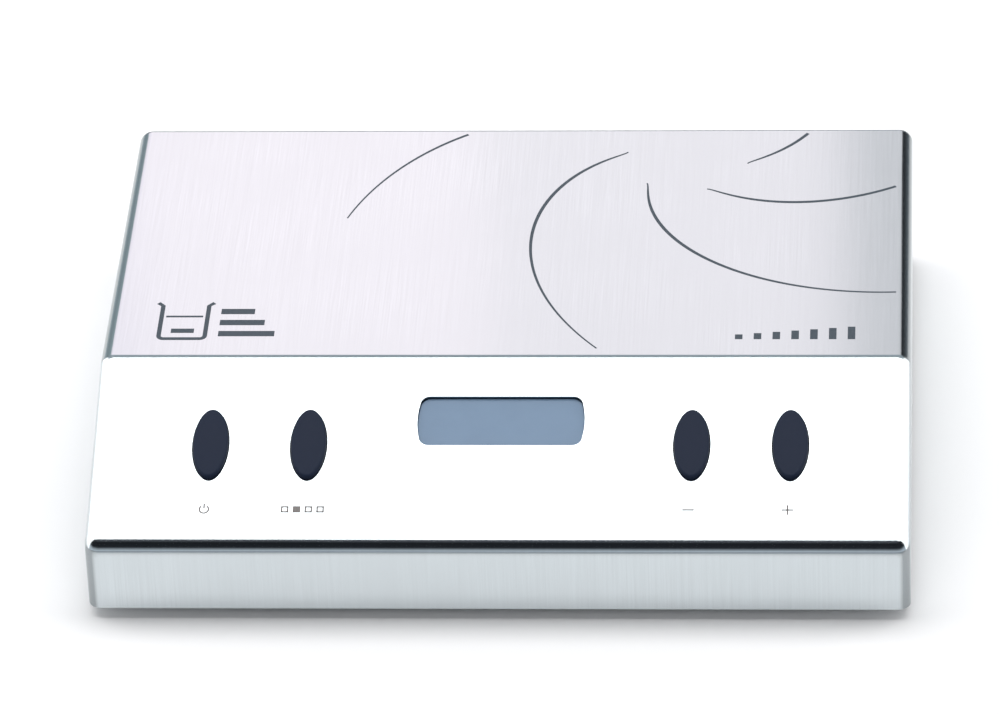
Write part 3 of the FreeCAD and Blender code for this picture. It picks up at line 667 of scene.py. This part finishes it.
def coil(name, place):
    """A helix of round wire, standing on the switch's floor along the panel's normal."""
    steps, sides = SPRING_STEPS, SPRING_SIDES
    rise = SPRING_HEIGHT - 2 * (SPRING_WIRE + SPRING_GAP)
    base = SPRING_FOOT + SPRING_WIRE + SPRING_GAP
    verts = []
    for i in range(steps + 1):
        turn = tau * SPRING_TURNS * i / steps
        for j in range(sides):
            lean = tau * j / sides
            radius = SPRING_RADIUS + SPRING_WIRE * cos(lean)
            height = base + rise * i / steps + SPRING_WIRE * sin(lean)
            local = Vector((place.x + radius * cos(turn), place.y + radius * sin(turn), height))
            verts.append(PANEL @ local)
    faces = []
    for i in range(steps):
        for j in range(sides):
            k = (j + 1) % sides
            a, b = i * sides, (i + 1) * sides
            faces.append((a + j, b + j, b + k, a + k))
    faces += [tuple(range(sides)), tuple(reversed(range(steps * sides, steps * sides + sides)))]
    piece = new_piece(name, verts, faces, "spring_steel", "housing")
    piece.data.shade_smooth()
    return piece


for joint in frame["joints"]:
    key = joint["child"].removesuffix("_button")
    place = key_centre(key)
    spring = coil(f"{key}_spring_coil", place)
    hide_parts(f"{key}_switch_spring")
    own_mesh(spring)


# Studio ------------------------------------------------------------------------------------------------


FLOOR_HALF = 4.0


def floor():
    mesh = bpy.data.meshes.new("floor")
    half = FLOOR_HALF
    corners = [(-half, -half, 0), (half, -half, 0), (half, half, 0), (-half, half, 0)]
    mesh.from_pydata(corners, [], [(0, 1, 2, 3)])
    made = bpy.data.objects.new("floor", mesh)
    bpy.context.scene.collection.objects.link(made)
    paint = Shader("floor_paint")
    drift = paint.noise(paint.place, 3.0)
    paint.set(
        Base_Color=paint.mix(drift, rgb(0.86, 0.865, 0.87), rgb(0.88, 0.885, 0.89)),
        Roughness=0.9,
        Specular_IOR_Level=0.1,
    )
    mesh.materials.append(paint.material)


def area_light(name, centre, facing, size_x, size_y, radiance, colour, mirrored=True):
    """A rectangular light, whose power follows from its size and brightness."""
    data = bpy.data.lights.new(name, "AREA")
    data.shape = "RECTANGLE"
    data.size = size_x
    data.size_y = size_y
    data.energy = radiance * size_x * size_y * pi
    data.color = colour
    light = bpy.data.objects.new(name, data)
    light.location = centre
    light.rotation_euler = Vector(facing).to_track_quat("-Z", "Y").to_euler()
    light.visible_camera = False
    light.visible_glossy = mirrored
    bpy.context.scene.collection.objects.link(light)


BACK_SKY = [
    (0.0, (0.30, 0.35, 0.40)), (0.12, (0.16, 0.19, 0.22)), (0.40, (0.015, 0.017, 0.022)),
    (0.88, (0.012, 0.014, 0.018)), (1.0, (0.12, 0.13, 0.15)),
]
FRONT_SKY = [
    (0.0, (0.62, 0.68, 0.74)), (0.22, (0.56, 0.62, 0.68)), (0.52, (0.020, 0.023, 0.028)),
    (0.88, (0.012, 0.014, 0.018)), (1.0, (0.12, 0.13, 0.15)),
]
CAMERA_SKY = (0.93, 0.94, 0.95)
FRONT_STARTS = 0.05
FRONT_FULL = -0.30


def sky(tree, height, stops):
    """A soft gradient by height over the horizon."""
    ramp = tree.nodes.new("ShaderNodeValToRGB")
    steps = ramp.color_ramp.elements
    for step, (position, colour) in zip((steps[0], steps[1]), (stops[0], stops[-1])):
        step.position = position
        step.color = rgb(*colour)
    for position, colour in stops[1:-1]:
        steps.new(position).color = rgb(*colour)
    tree.links.new(height, ramp.inputs["Fac"])
    return ramp.outputs["Color"]


def world():
    """Pale past the floor; for light and reflections, a dim studio with a brighter horizon in front."""
    made = bpy.data.worlds.new("studio")
    bpy.context.scene.world = made
    made.use_nodes = True
    tree = made.node_tree
    tree.nodes.clear()
    place = tree.nodes.new("ShaderNodeTexCoord")
    split = tree.nodes.new("ShaderNodeSeparateXYZ")
    forward = tree.nodes.new("ShaderNodeMapRange")
    studio = tree.nodes.new("ShaderNodeMix")
    dim = tree.nodes.new("ShaderNodeBackground")
    pale = tree.nodes.new("ShaderNodeBackground")
    path = tree.nodes.new("ShaderNodeLightPath")
    mix = tree.nodes.new("ShaderNodeMixShader")
    out = tree.nodes.new("ShaderNodeOutputWorld")
    studio.data_type = "RGBA"
    forward.inputs["From Min"].default_value = FRONT_STARTS
    forward.inputs["From Max"].default_value = FRONT_FULL
    pale.inputs["Color"].default_value = rgb(*CAMERA_SKY)
    tree.links.new(place.outputs["Generated"], split.inputs[0])
    tree.links.new(split.outputs["Y"], forward.inputs["Value"])
    tree.links.new(forward.outputs["Result"], by_identifier(studio.inputs, "Factor_Float"))
    tree.links.new(sky(tree, split.outputs["Z"], BACK_SKY), by_identifier(studio.inputs, "A_Color"))
    tree.links.new(sky(tree, split.outputs["Z"], FRONT_SKY), by_identifier(studio.inputs, "B_Color"))
    tree.links.new(by_identifier(studio.outputs, "Result_Color"), dim.inputs["Color"])
    tree.links.new(path.outputs["Is Camera Ray"], mix.inputs["Fac"])
    tree.links.new(dim.outputs[0], mix.inputs[1])
    tree.links.new(pale.outputs[0], mix.inputs[2])
    tree.links.new(mix.outputs[0], out.inputs["Surface"])


SOFTBOX_HEIGHT = 0.90
SOFTBOX_CENTRE_Y = 0.125
SOFTBOX = (1.5, 0.59)
SOFTBOX_RADIANCE = 3.3
SIDE_X = 0.75
SIDE_CENTRE_Y = 0.23
SIDE_CARD = (0.86, 0.9)
SIDE_RADIANCE = 1.7
CARD_Y = 0.45
CARD_LOW = 0.12
CARD_TOP = 0.42
CARD_LEFT = -0.24
CARD_STRIP = 0.10
CARD_STRIPS = [
    (1.37, (1.0, 0.90, 0.967)),
    (1.50, (1.0, 0.90, 0.935)),
    (1.35, (1.0, 0.92, 0.950)),
    (0.88, (1.0, 0.97, 1.0)),
]
CARD_WINGS = {  # left, right, low, high, radiance and colour
    "right": (0.06, 0.22, 0.30, 0.42, 0.8, (1.0, 0.97, 1.0)),
    "left": (-0.60, -0.24, 0.0, 0.42, 0.45, (0.75, 0.95, 1.0)),
    "high": (-0.60, 0.60, 0.42, 0.86, 0.5, (0.80, 0.93, 1.0)),
}
FILL_CENTRE = (0.0, -1.2, 1.0)
FILL = (1.5, 1.0)
FILL_RADIANCE = 1.2
WHITE = (1.0, 0.99, 0.985)


def back_card(name, left, right, low, high, radiance, colour):
    """An upright reflector behind the object."""
    centre = ((left + right) / 2, CARD_Y, (low + high) / 2)
    area_light(name, centre, (0, -1, 0), right - left, high - low, radiance, colour)


floor()
world()
area_light("softbox", (0, SOFTBOX_CENTRE_Y, SOFTBOX_HEIGHT), (0, 0, -1), *SOFTBOX, SOFTBOX_RADIANCE, WHITE)
for side, name in ((-1, "left_card"), (1, "right_card")):
    centre = (side * SIDE_X, SIDE_CENTRE_Y, SIDE_CARD[1] / 2)
    area_light(name, centre, (-side, 0, 0), *SIDE_CARD, SIDE_RADIANCE, WHITE)
for i, (radiance, colour) in enumerate(CARD_STRIPS):
    left = CARD_LEFT + CARD_STRIP * i
    back_card(f"back_card_{i}", left, left + CARD_STRIP, CARD_LOW, CARD_TOP, radiance, colour)
for name, wing in CARD_WINGS.items():
    back_card(f"back_card_{name}", *wing)
area_light("front_fill", FILL_CENTRE, -Vector(FILL_CENTRE), *FILL, FILL_RADIANCE, WHITE, mirrored=False)

# Camera ------------------------------------------------------------------------------------------------

CAMERA_PITCH = 34.355
CAMERA_YAW = 4.461
CAMERA_ROLL = -2.523
CAMERA_LENS_MM = 245.83
CAMERA_RIGHT = 165.47 * MM
CAMERA_BACK = -1062.75 * MM
CAMERA_UP = 787.92 * MM

camera_data = bpy.data.cameras.new("camera")
camera_data.lens = CAMERA_LENS_MM
camera_data.sensor_width = 36.0
camera = bpy.data.objects.new("camera", camera_data)
bpy.context.scene.collection.objects.link(camera)
turn = (
    Matrix.Rotation(radians(CAMERA_YAW), 4, "Z")
    @ Matrix.Rotation(radians(90 - CAMERA_PITCH), 4, "X")
    @ Matrix.Rotation(radians(CAMERA_ROLL), 4, "Z")
)
camera.matrix_world = Matrix.Translation(shell_low + Vector((CAMERA_RIGHT, CAMERA_BACK, CAMERA_UP))) @ turn
bpy.context.scene.camera = camera
bpy.context.scene.view_settings.view_transform = "Standard"
